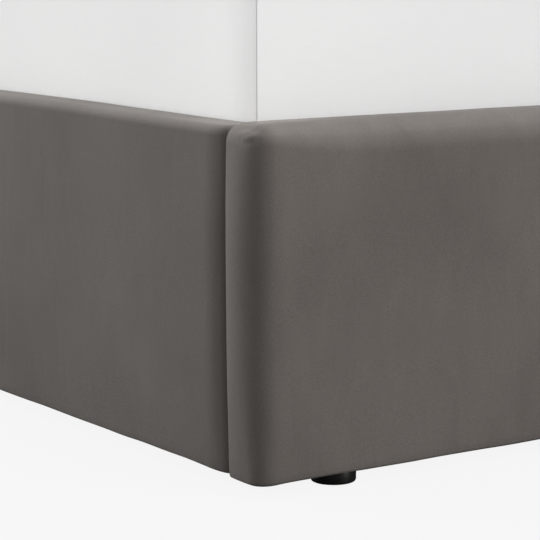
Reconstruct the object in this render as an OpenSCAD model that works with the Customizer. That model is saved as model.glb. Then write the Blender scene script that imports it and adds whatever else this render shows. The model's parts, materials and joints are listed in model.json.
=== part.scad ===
// Upholstered bed: low straight footboard, deep side rails and a headboard that sweeps back to a
// rolled top. The panels are timber frames, boarded, padded and covered in velvet. A centre rail on
// three legs and two rows of sprung slats carry the mattress.
// Origin: middle of the bed on the floor. +X is the right side seen from the foot, +Y the head end.
// Inside the modules, lengths along the bed are measured from the footboard's front face.

/* [Mattress] */
// Mattress width
mattress_w = 1500; // [1350:10:1800]
// Mattress length
mattress_l = 2000; // [1900:10:2100]
// Mattress thickness
mattress_t = 250; // [180:10:320]
// Corner radius of the mattress in plan
mattress_r = 30; // [20:5:60]
// Thickness of the fitted sheet
sheet_t = 1.2; // [0.8:0.1:2]
// Width of the sheet's hem under the mattress
sheet_hem = 110; // [60:10:160]

/* [Side rails and footboard] */
// Height of the padded panels
panel_h = 350; // [300:10:400]
// Clearance under the panels
panel_z = 15; // [10:1:40]
// Thickness of a side rail
rail_t = 50; // [46:1:60]
// Thickness of the footboard
footboard_t = 60; // [56:1:80]
// Gap between a side rail and the mattress
side_gap = 10; // [5:1:20]
// Gap between the footboard and the mattress
foot_gap = 31; // [10:1:60]
// Depth of the mattress below the top of the panels
mattress_sink = 100; // [60:5:120]

/* [Headboard] */
// Thickness of the headboard below its roll
head_t = 90; // [80:1:110]
// Gap between the headboard and the mattress
head_gap = 10; // [5:1:20]
// Height at which the headboard starts to sweep back
sweep_z = 650; // [560:10:760]
// Radius of the swept front face
sweep_r = 650; // [560:10:800]
// Angle of the sweep
sweep_a = 40; // [30:1:45]
// Radius of the roll along the top
roll_r = 62; // [56:1:70]

/* [Slatted base] */
// Slats in each row
slat_count = 15; // [12:1:16]
// Width of a slat
slat_w = 63; // [53:1:68]
// Thickness of a slat
slat_t = 8; // [8:1:12]
// Rise of a slat's arch
slat_rise = 10; // [6:1:14]
// Height of the centre rail
centre_h = 70; // [60:5:80]
// Width of the centre rail
centre_w = 44; // [40:1:50]

/* [Feet] */
// Diameter of a glide foot
glide_d = 46; // [40:1:50]
// Distance of a glide foot from the end of its panel
glide_in = 109; // [80:1:150]
// Diameter of a centre leg's tube
leg_d = 40; // [35:1:50]
// Diameter of a levelling foot
leveller_d = 46; // [42:1:56]

/* [Hidden] */
cover_t = 1.5;          // velvet with its backing
board_t = 4;            // boards of the rails and footboard
bar_h = 45;             // height of the frame timbers
rail_foam = 6;
foot_foam = 8;
top_foam = 10;          // padding along the top edges
ease = 0.2;             // room between padding and cover
butt = 1.5;             // room between a rail's end and the panel it meets
hem_in = 12;            // cover turned in under a panel
front_r = 22;           // front corners of the footboard in plan
back_r = 5;             // back corners of the panels in plan
rail_end_r = 13;
foot_top_r = 20;        // top edges of the footboard
rail_top_r = 14;        // top edges of the side rails
liner_in = 8;           // lining strips, set in from a panel's faces
liner_t = 1;
head_front_foam = 25;
head_back_foam = 5;
head_board = 3;
head_end_foam = 8;
rib_t = 18;
rib_count = 6;
post_d = 27;            // depth of the headboard's bars and posts
bar_ease = 0.2;
dowel_r = 17;

bed_w = mattress_w + 2 * (side_gap + rail_t);
head_y = footboard_t + foot_gap + mattress_l + head_gap;
roll_reach = sweep_r - roll_r;
roll_y = head_y + sweep_r - roll_reach * cos(sweep_a);
roll_z = sweep_z + roll_reach * sin(sweep_a);
bed_l = roll_y + roll_r;
panel_top = panel_z + panel_h;
mattress_y = footboard_t + foot_gap;
mattress_z = panel_top - mattress_sink;
rail_in = bed_w / 2 - rail_t;
rail_y0 = footboard_t + butt;
rail_l = head_y - butt - rail_y0;
rail_mid_y = rail_y0 + rail_l / 2;

foot_core = footboard_t - 2 * (cover_t + foot_foam);
foot_timber = foot_core - 2 * board_t;
foot_half = bed_w / 2 - cover_t - foot_foam;
rail_core = rail_t - 2 * (cover_t + rail_foam);
rail_timber = rail_core - 2 * board_t;
rail_mid_x = bed_w / 2 - rail_t / 2;
frame_z0 = panel_z + cover_t;
frame_z1 = panel_top - cover_t - top_foam;

slat_top = mattress_z - sheet_t - 0.3;
slat_out = rail_in - 7;
slat_in = 10;
slat_end_z = slat_top - slat_rise - slat_t;
holder_base = 3;
holder_h = 15;
holder_l = 34;
holder_wall = 2;        // plastic beside a slat
holder_lip = 1.3;       // plastic over a slat
slat_ease = 0.3;
ledger_top = slat_end_z - holder_base;
ledger_w = 35;
ledger_h = 35;
ledger_end = 25;
slat_margin = 60;
slat_pitch = (mattress_l - 2 * slat_margin) / (slat_count - 1);
slat_ys = [for (i = [0:slat_count - 1]) mattress_y + slat_margin + i * slat_pitch];

plate_t = 3;
bracket_leg = 60;
bracket_h = 120;
bracket_z = 80;
bolt_r = 4;
bolt_clear = 5.1;
bolt_zs = [bracket_z + 28, bracket_z + 92];
bolt_in = 32;           // bolt axis from the inner corner
bolt_af_r = 7;          // bolt head, centre to corner
bolt_head_h = 5;
bolt_socket_r = 3;
foot_bolt_l = 46;
head_bolt_l = 62;
rail_bolt_l = 39;
foot_bolt_hole = 49;    // depths of the bolts' bores, from the heads
head_bolt_hole = 70;
rail_bolt_hole = 40;
nut_flange_r = 11;
nut_flange_t = 1.5;
nut_barrel_r = 5;
nut_barrel_l = 9;
post_w = 45;
wide_post_w = 100;
hanger_l = 50;
hanger_ease = 0.3;
hanger_screw_x = 38;
foot_hanger_screw_l = 41;
head_hanger_screw_l = 58;
ledger_screw_l = 66;
leg_screw_l = 30;
screw_head_r = 4.4;
screw_head_h = 2.2;
screw_hole_over = 2;    // room past a screw's tip
hanger_screw_zs = [ledger_top - centre_h + 12, ledger_top - 14];
screw_r = 2.3;
screw_clear = 2.5;
ledger_screw_r = 2.5;
ledger_screw_count = 7;
ledger_screw_z = ledger_top - ledger_h / 2;
ledger_screw_ys = [for (i = [0:ledger_screw_count - 1])
    rail_mid_y + (i - (ledger_screw_count - 1) / 2) * (rail_l - 300) / (ledger_screw_count - 1)];
glide_x = bed_w / 2 - glide_in;
glide_foot_y = 33;
glide_head_y = head_y + head_t / 2 - 2;
glide_screw_r = 2.5;
glide_recess_r = 6.2;   // recess for the screw's head
glide_recess_h = 5;
glide_screw_l = 45;
leg_ys = [for (f = [0.2, 0.5, 0.8]) mattress_y + f * mattress_l];
leg_top = ledger_top - centre_h;
leg_wall = 1.5;
leg_plate = 84;
leg_screw_x = 14;
leg_screw_y = 34;
leveller_h = 14;
leg_bottom = leveller_h + 8;
stud_r = 5;
stud_clear = 0.08;
plug_h = 22;

$fn = 48;

// ---- helpers ----

// Lengths along the bed, measured from the footboard's front face, to the bed's own frame
module from_foot() translate([0, -bed_l / 2, 0]) children();

module left() mirror([1, 0, 0]) children();

module both_sides() {
    children();
    left() children();
}

// A 2D outline in the plane across the bed's length, swept along X and centred on it
module along_x(length) rotate([90, 0, 90]) translate([0, 0, -length / 2]) linear_extrude(length) children();

module along_y(length) rotate([90, 0, 0]) translate([0, 0, -length / 2]) linear_extrude(length) children();

module corner_waste(r) difference() {
    translate([-1, -1]) square(r + 1);
    translate([r, r]) circle(r);
}

// Rectangle centred on the origin, with its near (low y) and far corners rounded
module rounded_plan(w, d, near, far) difference() {
    square([w, d], center = true);
    for (s = [0, 1]) mirror([s, 0]) {
        translate([-w / 2, -d / 2]) corner_waste(near);
        translate([-w / 2, d / 2]) mirror([0, 1]) corner_waste(far);
    }
}

// Rectangle standing on y = 0, with rounded top corners
module rounded_top(w, h, r) difference() {
    translate([-w / 2, 0]) square([w, h]);
    for (s = [0, 1]) mirror([s, 0]) translate([-w / 2, h]) mirror([0, 1]) corner_waste(r);
}

// Padded panel along X with soft vertical corners and soft top edges
module soft_panel(w, d, h, near, far, top) intersection() {
    linear_extrude(h) rounded_plan(w, d, near, far);
    along_x(w) rounded_top(d, h, top);
    along_y(d) rounded_top(w, h, top);
}

module bolt_bore(r, length) rotate([90, 0, 0]) cylinder(r = r, h = length, center = true);

// Hexagon-headed bolt, its head's underside at the origin and its shank along -Z
module bolt(length) {
    translate([0, 0, -length]) cylinder(r = bolt_r, h = length);
    difference() {
        cylinder(r = bolt_af_r, h = bolt_head_h, $fn = 6);
        translate([0, 0, bolt_head_h - 2]) cylinder(r = bolt_socket_r, h = 3, $fn = 6);
    }
}

// Flanged nut with its flange's outer face at the origin and its barrel along +Z
module tee_nut() difference() {
    union() {
        cylinder(r = nut_flange_r, h = nut_flange_t);
        cylinder(r = nut_barrel_r, h = nut_flange_t + nut_barrel_l);
    }
    translate([0, 0, -1]) cylinder(r = bolt_r + 0.1, h = nut_flange_t + nut_barrel_l + 2);
}

// Pan-headed wood screw, its head's underside at the origin and its shank along -Z
module wood_screw(r, length, head_r, head_h) {
    difference() {
        cylinder(r = head_r, h = head_h);
        translate([0, 0, head_h - 1.4]) {
            translate([-head_r * 0.6, -0.6, 0]) cube([head_r * 1.2, 1.2, 2]);
            translate([-0.6, -head_r * 0.6, 0]) cube([1.2, head_r * 1.2, 2]);
        }
    }
    translate([0, 0, -length]) cylinder(r = r, h = length);
}

// ---- places of the fasteners ----

module at_footboard_bolts() both_sides() for (z = bolt_zs)
    translate([rail_in - bolt_in, footboard_t + plate_t, z]) rotate([-90, 0, 0]) children();

module at_headboard_bolts() both_sides() for (z = bolt_zs)
    translate([rail_in - bolt_in, head_y - plate_t, z]) rotate([90, 0, 0]) children();

// Bolts into the right-hand rail, their heads towards the middle of the bed
module at_right_rail_bolts() for (y = [footboard_t + bolt_in, head_y - bolt_in], z = bolt_zs)
    translate([rail_in - plate_t, y, z]) rotate([0, -90, 0]) children();

module at_foot_hanger_screws() both_sides() for (z = hanger_screw_zs)
    translate([hanger_screw_x, footboard_t + plate_t, z]) rotate([-90, 0, 0]) children();

module at_head_hanger_screws() both_sides() for (z = hanger_screw_zs)
    translate([hanger_screw_x, head_y - plate_t, z]) rotate([90, 0, 0]) children();

module at_right_ledger_screws() for (y = ledger_screw_ys)
    translate([rail_in - ledger_w, y, ledger_screw_z]) rotate([0, -90, 0]) children();

module at_foot_glides() both_sides() translate([glide_x, glide_foot_y, 0]) children();

module at_head_glides() both_sides() translate([glide_x, glide_head_y, 0]) children();

module shaft_hole(r, length) translate([0, 0, -length]) cylinder(r = r, h = length + 20);

// Every hole that fasteners need in the footboard
module footboard_holes(bolt_hole_r) {
    at_footboard_bolts() shaft_hole(bolt_hole_r, foot_bolt_hole);
    at_foot_hanger_screws() shaft_hole(screw_clear, foot_hanger_screw_l + screw_hole_over);
    at_foot_glides() translate([0, 0, -1]) cylinder(r = glide_screw_r + 0.2, h = glide_screw_l + 4);
}

module headboard_holes(bolt_hole_r) {
    at_headboard_bolts() shaft_hole(bolt_hole_r, head_bolt_hole);
    at_head_hanger_screws() shaft_hole(screw_clear, head_hanger_screw_l + screw_hole_over);
    at_head_glides() translate([0, 0, -1]) cylinder(r = glide_screw_r + 0.2, h = glide_screw_l + 4);
}

module right_rail_holes(bolt_hole_r) {
    at_right_rail_bolts() shaft_hole(bolt_hole_r, rail_bolt_hole);
    at_right_ledger_screws() shaft_hole(ledger_screw_r + 0.2, ledger_screw_l + screw_hole_over);
}

// ---- footboard ----

module footboard_block(inset, z0) translate([0, footboard_t / 2, z0])
    soft_panel(bed_w - 2 * inset, footboard_t - 2 * inset, panel_top - inset - z0,
        front_r - inset, back_r - inset, foot_top_r - inset);

module footboard_bars() color("burlywood") from_foot() difference() {
    for (z = [frame_z0, frame_z1 - bar_h])
        translate([-foot_half, (footboard_t - foot_timber) / 2, z]) cube([2 * foot_half, foot_timber, bar_h]);
    footboard_holes(bolt_clear);
}

module footboard_uprights() color("burlywood") from_foot() difference() {
    h = frame_z1 - frame_z0 - 2 * bar_h;
    for (p = [[0, wide_post_w], [-foot_half / 2, post_w], [foot_half / 2, post_w],
            [rail_in - bolt_in, post_w], [-rail_in + bolt_in, post_w],
            [foot_half - 12, 24], [12 - foot_half, 24]])
        translate([p[0] - p[1] / 2, (footboard_t - foot_timber) / 2, frame_z0 + bar_h])
            cube([p[1], foot_timber, h]);
    footboard_holes(bolt_clear);
    at_footboard_bolts() translate([0, 0, -plate_t - cover_t - foot_foam - board_t - foot_timber - 0.1])
        cylinder(r = nut_flange_r + 0.2, h = nut_flange_t + 0.2);
}

module footboard_board(y) from_foot() difference() {
    translate([-foot_half, y, frame_z0]) cube([2 * foot_half, board_t, frame_z1 - frame_z0]);
    footboard_holes(bolt_clear);
}

module footboard_front_board() color("tan") footboard_board(cover_t + foot_foam);

module footboard_back_board() color("tan")
    footboard_board(footboard_t - cover_t - foot_foam - board_t);

module footboard_foam() color("khaki") from_foot() difference() {
    footboard_block(cover_t + ease, frame_z0 + ease);
    translate([-foot_half - ease, cover_t + foot_foam - ease, 0])
        cube([2 * (foot_half + ease), foot_core + 2 * ease, frame_z1 + ease]);
    footboard_holes(bolt_clear);
}

module footboard_cover() color("dimgray") from_foot() difference() {
    footboard_block(0, panel_z);
    footboard_block(cover_t, frame_z0);
    translate([hem_in - bed_w / 2, hem_in, panel_z - 1])
        cube([bed_w - 2 * hem_in, footboard_t - 2 * hem_in, 10]);
    footboard_holes(bolt_clear);
}

// ---- side rails (the right one is drawn, and mirrored for the left) ----

module rail_block(inset, z0) translate([rail_mid_x, rail_mid_y, z0]) rotate([0, 0, 90])
    soft_panel(rail_l - 2 * inset, rail_t - 2 * inset, panel_top - inset - z0,
        rail_end_r - inset, rail_end_r - inset, rail_top_r - inset);

rail_core_l = rail_l - 2 * (cover_t + rail_foam);
rail_core_y = rail_mid_y - rail_core_l / 2;

module rail_bars() from_foot() difference() {
    for (z = [frame_z0, ledger_screw_z - bar_h / 2, frame_z1 - bar_h])
        translate([rail_mid_x - rail_timber / 2, rail_core_y, z]) cube([rail_timber, rail_core_l, bar_h]);
    right_rail_holes(bolt_clear);
}

module rail_uprights() from_foot() difference() {
    for (y = [for (i = [0:4]) rail_core_y + post_w / 2 + i * (rail_core_l - post_w) / 4],
            z = [[frame_z0 + bar_h, ledger_screw_z - bar_h / 2],
                [ledger_screw_z + bar_h / 2, frame_z1 - bar_h]])
        translate([rail_mid_x - rail_timber / 2, y - post_w / 2, z[0]])
            cube([rail_timber, post_w, z[1] - z[0]]);
    right_rail_holes(bolt_clear);
    at_right_rail_bolts() translate([0, 0, -plate_t - cover_t - rail_foam - board_t - rail_timber - 0.1])
        cylinder(r = nut_flange_r + 0.2, h = nut_flange_t + 0.2);
}

module rail_board(x) from_foot() difference() {
    translate([x, rail_core_y, frame_z0]) cube([board_t, rail_core_l, frame_z1 - frame_z0]);
    right_rail_holes(bolt_clear);
}

module rail_outer_board() rail_board(bed_w / 2 - cover_t - rail_foam - board_t);

module rail_inner_board() rail_board(rail_in + cover_t + rail_foam);

module rail_foam_pad() from_foot() difference() {
    rail_block(cover_t + ease, frame_z0 + ease);
    translate([rail_mid_x - rail_core / 2 - ease, rail_core_y - ease, 0])
        cube([rail_core + 2 * ease, rail_core_l + 2 * ease, frame_z1 + ease]);
    right_rail_holes(bolt_clear);
}

module rail_cover() from_foot() difference() {
    rail_block(0, panel_z);
    rail_block(cover_t, frame_z0);
    translate([rail_in + hem_in, rail_y0 + hem_in, panel_z - 1])
        cube([rail_t - 2 * hem_in, rail_l - 2 * hem_in, 10]);
    right_rail_holes(bolt_clear);
}

module slat_ledger() from_foot() difference() {
    translate([rail_in - ledger_w, rail_y0 + ledger_end, ledger_top - ledger_h])
        cube([ledger_w, rail_l - 2 * ledger_end, ledger_h]);
    at_right_ledger_screws() shaft_hole(ledger_screw_r + 0.2, ledger_screw_l + screw_hole_over);
}

module left_rail_bars() color("burlywood") left() rail_bars();
module right_rail_bars() color("burlywood") rail_bars();
module left_rail_uprights() color("burlywood") left() rail_uprights();
module right_rail_uprights() color("burlywood") rail_uprights();
module left_rail_outer_board() color("tan") left() rail_outer_board();
module right_rail_outer_board() color("tan") rail_outer_board();
module left_rail_inner_board() color("tan") left() rail_inner_board();
module right_rail_inner_board() color("tan") rail_inner_board();
module left_rail_foam() color("khaki") left() rail_foam_pad();
module right_rail_foam() color("khaki") rail_foam_pad();
module left_rail_cover() color("dimgray") left() rail_cover();
module right_rail_cover() color("dimgray") rail_cover();
module left_slat_ledger() color("peru") left() slat_ledger();
module right_slat_ledger() color("peru") slat_ledger();

// ---- headboard ----

// Profile layer between two depths from the front face: a straight part, then the sweep
module head_layer(front, back, z0) {
    translate([head_y + front, z0]) square([back - front, sweep_z - z0]);
    translate([head_y + sweep_r, sweep_z]) intersection() {
        difference() {
            circle(sweep_r - front, $fn = 360);
            circle(sweep_r - back, $fn = 360);
        }
        polygon([[0, 0], [-2 * sweep_r, 0], [-2 * sweep_r * cos(sweep_a / 2), 2 * sweep_r * sin(sweep_a / 2)],
            [-2 * sweep_r * cos(sweep_a), 2 * sweep_r * sin(sweep_a)]]);
    }
}

module roll_disc(r) translate([roll_y, roll_z]) circle(r, $fn = 96);

// Whole profile, with its front, its back and its roll set in
module head_profile(front, back, roll, z0) {
    head_layer(front, head_t - back, z0);
    roll_disc(roll_r - roll);
}

head_front = cover_t + head_front_foam;
head_back = cover_t + head_back_foam;
head_clear_w = bed_w - 2 * cover_t;
head_core_w = head_clear_w - 2 * (head_end_foam + ease);
core_roll_r = roll_r - head_front;
rib_depth = [head_front + head_board, head_t - head_back - head_board];
rib_xs = [for (i = [0:rib_count - 1])
    (i - (rib_count - 1) / 2) * (head_core_w - rib_t) / (rib_count - 1)];
cross_bar_zs = [frame_z0, ledger_top, sweep_z - 60];

module cross_bar_outline(extra) for (z = cross_bar_zs)
    translate([head_y + rib_depth[0] - extra, z - extra])
        square([post_d + 2 * extra, bar_h + 2 * extra]);

module headboard_ribs() color("wheat") from_foot()
    for (x = rib_xs) translate([x, 0, 0]) along_x(rib_t) difference() {
        union() {
            head_layer(rib_depth[0], rib_depth[1], frame_z0);
            roll_disc(core_roll_r);
        }
        cross_bar_outline(bar_ease);
        roll_disc(dowel_r + bar_ease);
    }

module headboard_cross_bars() color("burlywood") from_foot() difference() {
    along_x(head_core_w) cross_bar_outline(0);
    headboard_holes(bolt_clear);
}

module headboard_roll_dowel() color("burlywood") from_foot() along_x(head_core_w) roll_disc(dowel_r);

module headboard_posts() color("burlywood") from_foot() difference() {
    for (p = [[0, wide_post_w], [rail_in - bolt_in, post_w], [-rail_in + bolt_in, post_w]])
        translate([p[0] - p[1] / 2, head_y + rib_depth[0], frame_z0 + bar_h + bar_ease])
            cube([p[1], post_d, ledger_top - frame_z0 - bar_h - 2 * bar_ease]);
    headboard_holes(bolt_clear);
}

module headboard_front_board() color("tan") from_foot() difference() {
    along_x(head_core_w) difference() {
        head_layer(head_front, rib_depth[0], frame_z0);
        roll_disc(core_roll_r + bar_ease);
    }
    headboard_holes(bolt_clear);
}

module headboard_back_board() color("tan") from_foot() along_x(head_core_w) difference() {
    head_layer(rib_depth[1], head_t - head_back, frame_z0);
    roll_disc(core_roll_r + bar_ease);
}

// Everything between the boards and the cover
module head_padding() difference() {
    head_profile(cover_t + ease, cover_t + ease, cover_t + ease, frame_z0 + ease);
    head_profile(head_front - ease, head_back - ease, head_front - ease, 0);
}

module head_front_zone(extra) {
    translate([head_y, 0]) square([head_t / 2 + extra, sweep_z]);
    head_layer(0, head_t / 2 + extra, 0);
    roll_disc(roll_r + extra);
}

module headboard_foam() color("khaki") from_foot() difference() {
    along_x(head_core_w) intersection() {
        head_padding();
        head_front_zone(0);
    }
    headboard_holes(bolt_clear);
}

module headboard_back_wadding() color("ivory") from_foot() along_x(head_core_w) difference() {
    head_padding();
    head_front_zone(ease);
}

module headboard_end_pads() color("khaki") from_foot() both_sides()
    translate([head_clear_w / 2 - ease - head_end_foam / 2, 0, 0]) along_x(head_end_foam)
        head_profile(cover_t + ease, cover_t + ease, cover_t + ease, frame_z0 + ease);

module headboard_cover() color("dimgray") from_foot() difference() {
    along_x(head_clear_w) difference() {
        head_profile(0, 0, 0, panel_z);
        head_profile(cover_t, cover_t, cover_t, frame_z0);
        translate([head_y + hem_in, 0]) square([head_t - 2 * hem_in, 100]);
    }
    headboard_holes(bolt_clear);
}

module headboard_end_facings() color("dimgray") from_foot() both_sides()
    translate([(bed_w - cover_t) / 2, 0, 0]) along_x(cover_t) head_profile(0, 0, 0, panel_z);

// ---- slatted base ----

slat_half = (slat_out - slat_in) / 2;
slat_mid_x = (slat_out + slat_in) / 2;
slat_r = (slat_half * slat_half + slat_rise * slat_rise) / (2 * slat_rise);

module slat() translate([slat_mid_x, 0, 0]) along_y(slat_w) intersection() {
    translate([0, slat_top - slat_r]) difference() {
        circle(slat_r, $fn = 720);
        circle(slat_r - slat_t, $fn = 720);
    }
    translate([-slat_half, slat_top - 3 * slat_t]) square([2 * slat_half, 4 * slat_t]);
}

module right_slats() color("moccasin") from_foot() for (y = slat_ys) translate([0, y, 0]) slat();
module left_slats() color("moccasin") left() from_foot() for (y = slat_ys) translate([0, y, 0]) slat();

// One pocket of a slat holder, its mouth towards +X, its closed end at x = 0
module slat_pocket(length, wall) difference() {
    translate([0, -slat_w / 2 - holder_wall, 0]) cube([length, slat_w + 2 * holder_wall, holder_h]);
    translate([wall, -slat_w / 2 - slat_ease, holder_base - 0.2])
        cube([length, slat_w + 2 * slat_ease, holder_h - holder_base - holder_lip]);
}

module side_holders() from_foot() for (y = slat_ys)
    translate([slat_out + 4, y, ledger_top]) rotate([0, 0, 180]) slat_pocket(holder_l, 3.5);

module left_slat_holders() color("black") left() side_holders();
module right_slat_holders() color("black") side_holders();

module centre_slat_holders() color("black") from_foot() for (y = slat_ys)
    translate([0, y, ledger_top]) for (a = [0, 180]) rotate([0, 0, a]) slat_pocket(holder_l + 2, slat_in - 1);

module centre_rail() color("burlywood") from_foot() difference() {
    translate([-centre_w / 2, footboard_t + plate_t + 1, ledger_top - centre_h])
        cube([centre_w, head_y - footboard_t - 2 * plate_t - 2, centre_h]);
    at_leg_screws() translate([0, 0, -1]) cylinder(r = screw_r + 0.2, h = 32);
}

module at_leg_screws() for (y = leg_ys, sx = [-1, 1], sy = [-1, 1])
    translate([sx * leg_screw_x, y + sy * leg_screw_y, leg_top - plate_t]) children();

// Stirrup that carries one end of the centre rail, its back plate on y = 0
module hanger() difference() {
    union() {
        translate([-wide_post_w / 2, 0, -5]) cube([wide_post_w, plate_t, centre_h + 5]);
        translate([-centre_w / 2 - plate_t - hanger_ease, 0, -plate_t])
            cube([centre_w + 2 * (plate_t + hanger_ease), hanger_l, centre_h - 10]);
    }
    translate([-centre_w / 2 - hanger_ease, plate_t, 0]) cube([centre_w + 2 * hanger_ease, hanger_l, centre_h]);
    for (x = [-hanger_screw_x, hanger_screw_x], z = hanger_screw_zs)
        translate([x, 0, z - ledger_top + centre_h]) bolt_bore(screw_clear, 20);
}

module centre_rail_hangers() color("silver") from_foot() {
    translate([0, footboard_t, ledger_top - centre_h]) hanger();
    translate([0, head_y, ledger_top - centre_h]) mirror([0, 1, 0]) hanger();
}

module centre_legs() color("dimgray") from_foot() for (y = leg_ys) translate([0, y, 0]) difference() {
    union() {
        translate([0, 0, leg_bottom]) cylinder(d = leg_d, h = leg_top - leg_bottom);
        translate([-centre_w / 2, -leg_plate / 2, leg_top - plate_t]) cube([centre_w, leg_plate, plate_t]);
    }
    translate([0, 0, leg_bottom - 1])
        cylinder(d = leg_d - 2 * leg_wall, h = leg_top - plate_t - leg_bottom + 1);
    for (sx = [-1, 1], sy = [-1, 1])
        translate([sx * leg_screw_x, sy * leg_screw_y, leg_top - 10]) cylinder(r = screw_clear, h = 20);
}

module leg_plugs() color("black") from_foot() for (y = leg_ys) translate([0, y, 0]) difference() {
    union() {
        translate([0, 0, leg_bottom - 2]) cylinder(d = leg_d, h = 2);
        translate([0, 0, leg_bottom]) cylinder(d = leg_d - 2 * leg_wall - 0.1, h = plug_h);
    }
    cylinder(r = stud_r + stud_clear, h = leg_bottom + plug_h + 1);
}

module levelling_foot(i) color("black") from_foot() translate([0, leg_ys[i], 0]) {
    difference() {
        rotate_extrude() polygon([[0, 0], [leveller_d / 2 - 2, 0], [leveller_d / 2, 2],
            [leveller_d / 2, 7], [leveller_d / 2 - 3, 9], [9, leveller_h], [0, leveller_h]]);
        for (a = [0:45:315]) rotate([0, 0, a]) translate([leveller_d / 2 + 1, 0, 2.5]) cylinder(r = 3, h = 10);
    }
    translate([0, 0, leveller_h - 1]) cylinder(r = stud_r, h = leg_bottom + plug_h - leveller_h - 4);
}

module levelling_foot_1() levelling_foot(0);
module levelling_foot_2() levelling_foot(1);
module levelling_foot_3() levelling_foot(2);

// ---- corner fastening ----

// Angle plate in the inner corner at the right, foot end
module corner_bracket() translate([rail_in, footboard_t, bracket_z]) difference() {
    union() {
        translate([-bracket_leg, 0, 0]) cube([bracket_leg, plate_t, bracket_h]);
        translate([-plate_t, 0, 0]) cube([plate_t, bracket_leg, bracket_h]);
    }
    for (z = bolt_zs) translate([0, 0, z - bracket_z]) {
        translate([-bolt_in, 0, 0]) bolt_bore(bolt_r + 0.3, 20);
        translate([0, bolt_in, 0]) rotate([0, 0, 90]) bolt_bore(bolt_r + 0.3, 20);
    }
}

module corner_brackets() color("silver") from_foot() both_sides() {
    corner_bracket();
    translate([0, footboard_t + head_y, 0]) mirror([0, 1, 0]) corner_bracket();
}

module footboard_bolts() color("silver") from_foot() at_footboard_bolts() bolt(foot_bolt_l);
module headboard_bolts() color("silver") from_foot() at_headboard_bolts() bolt(head_bolt_l);
module rail_bolts() color("silver") from_foot() both_sides() at_right_rail_bolts() bolt(rail_bolt_l);

module tee_nuts() color("gray") from_foot() {
    at_footboard_bolts() translate([0, 0, -footboard_t - plate_t + cover_t + foot_foam + board_t]) tee_nut();
    at_headboard_bolts() translate([0, 0, -plate_t - rib_depth[0] - post_d - nut_flange_t]) tee_nut();
    both_sides() at_right_rail_bolts()
        translate([0, 0, -rail_t - plate_t + cover_t + rail_foam + board_t]) tee_nut();
}

// ---- feet and small fasteners ----

module glide_foot() difference() {
    rotate_extrude() polygon([[0, 0], [glide_d / 2 - 1.5, 0], [glide_d / 2, 1.5],
        [glide_d / 2, panel_z - 1], [0, panel_z - 1]]);
    translate([0, 0, -1]) cylinder(r = glide_screw_r + 0.2, h = panel_z + 2);
    translate([0, 0, -1]) cylinder(r = glide_recess_r, h = glide_recess_h + 1);
}

module glide_feet() color("black") from_foot() {
    at_foot_glides() glide_foot();
    at_head_glides() glide_foot();
}

module glide_screw() translate([0, 0, glide_recess_h]) mirror([0, 0, 1])
    wood_screw(glide_screw_r, glide_screw_l - glide_recess_h, 5.5, 3.2);

module glide_screws() color("silver") from_foot() {
    at_foot_glides() glide_screw();
    at_head_glides() glide_screw();
}

module ledger_screws() color("gold") from_foot() both_sides() at_right_ledger_screws()
    wood_screw(ledger_screw_r, ledger_screw_l, 5, 2.5);

module hanger_screws() color("gold") from_foot() {
    at_foot_hanger_screws() wood_screw(screw_r, foot_hanger_screw_l, screw_head_r, screw_head_h);
    at_head_hanger_screws() wood_screw(screw_r, head_hanger_screw_l, screw_head_r, screw_head_h);
}

module leg_screws() color("gold") from_foot() at_leg_screws() mirror([0, 0, 1])
    wood_screw(screw_r, leg_screw_l, screw_head_r, screw_head_h);

// Lining under a panel whose plan starts at x, y
module liner_strip(x, y, w, l) translate([x + liner_in, y + liner_in, panel_z - liner_t])
    cube([w - 2 * liner_in, l - 2 * liner_in, liner_t]);

// Black strips that close the panels from below, with a hole at each glide foot's screw
module underside_liners() color("black") from_foot() difference() {
    union() {
        liner_strip(-bed_w / 2, 0, bed_w, footboard_t);
        liner_strip(-bed_w / 2, head_y, bed_w, head_t);
        both_sides() liner_strip(rail_in, rail_y0, rail_t, rail_l);
    }
    at_foot_glides() translate([0, 0, panel_z - 5]) cylinder(r = 4, h = 10);
    at_head_glides() translate([0, 0, panel_z - 5]) cylinder(r = 4, h = 10);
}

// ---- mattress and its sheet ----

module mattress_block(extra, z0, z1) translate([0, mattress_y + mattress_l / 2, z0])
    linear_extrude(z1 - z0) rounded_plan(mattress_w + 2 * extra, mattress_l + 2 * extra,
        mattress_r + extra, mattress_r + extra);

module mattress() color("whitesmoke") from_foot()
    mattress_block(0, mattress_z, mattress_z + mattress_t);

module fitted_sheet() color("white") from_foot() difference() {
    mattress_block(sheet_t, mattress_z - sheet_t, mattress_z + mattress_t + sheet_t);
    mattress_block(0.05, mattress_z - 0.05, mattress_z + mattress_t + 0.05);
    translate([sheet_hem - mattress_w / 2, mattress_y + sheet_hem, mattress_z - 10])
        cube([mattress_w - 2 * sheet_hem, mattress_l - 2 * sheet_hem, 15]);
}

footboard_bars();
footboard_uprights();
footboard_front_board();
footboard_back_board();
footboard_foam();
footboard_cover();
left_rail_bars();
right_rail_bars();
left_rail_uprights();
right_rail_uprights();
left_rail_outer_board();
right_rail_outer_board();
left_rail_inner_board();
right_rail_inner_board();
left_rail_foam();
right_rail_foam();
left_rail_cover();
right_rail_cover();
left_slat_ledger();
right_slat_ledger();
headboard_ribs();
headboard_cross_bars();
headboard_roll_dowel();
headboard_posts();
headboard_front_board();
headboard_back_board();
headboard_foam();
headboard_back_wadding();
headboard_end_pads();
headboard_cover();
headboard_end_facings();
centre_rail();
centre_rail_hangers();
centre_legs();
leg_plugs();
levelling_foot_1();
levelling_foot_2();
levelling_foot_3();
left_slats();
right_slats();
left_slat_holders();
right_slat_holders();
centre_slat_holders();
corner_brackets();
footboard_bolts();
headboard_bolts();
rail_bolts();
tee_nuts();
glide_feet();
glide_screws();
ledger_screws();
hanger_screws();
leg_screws();
underside_liners();
mattress();
fitted_sheet();
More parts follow.
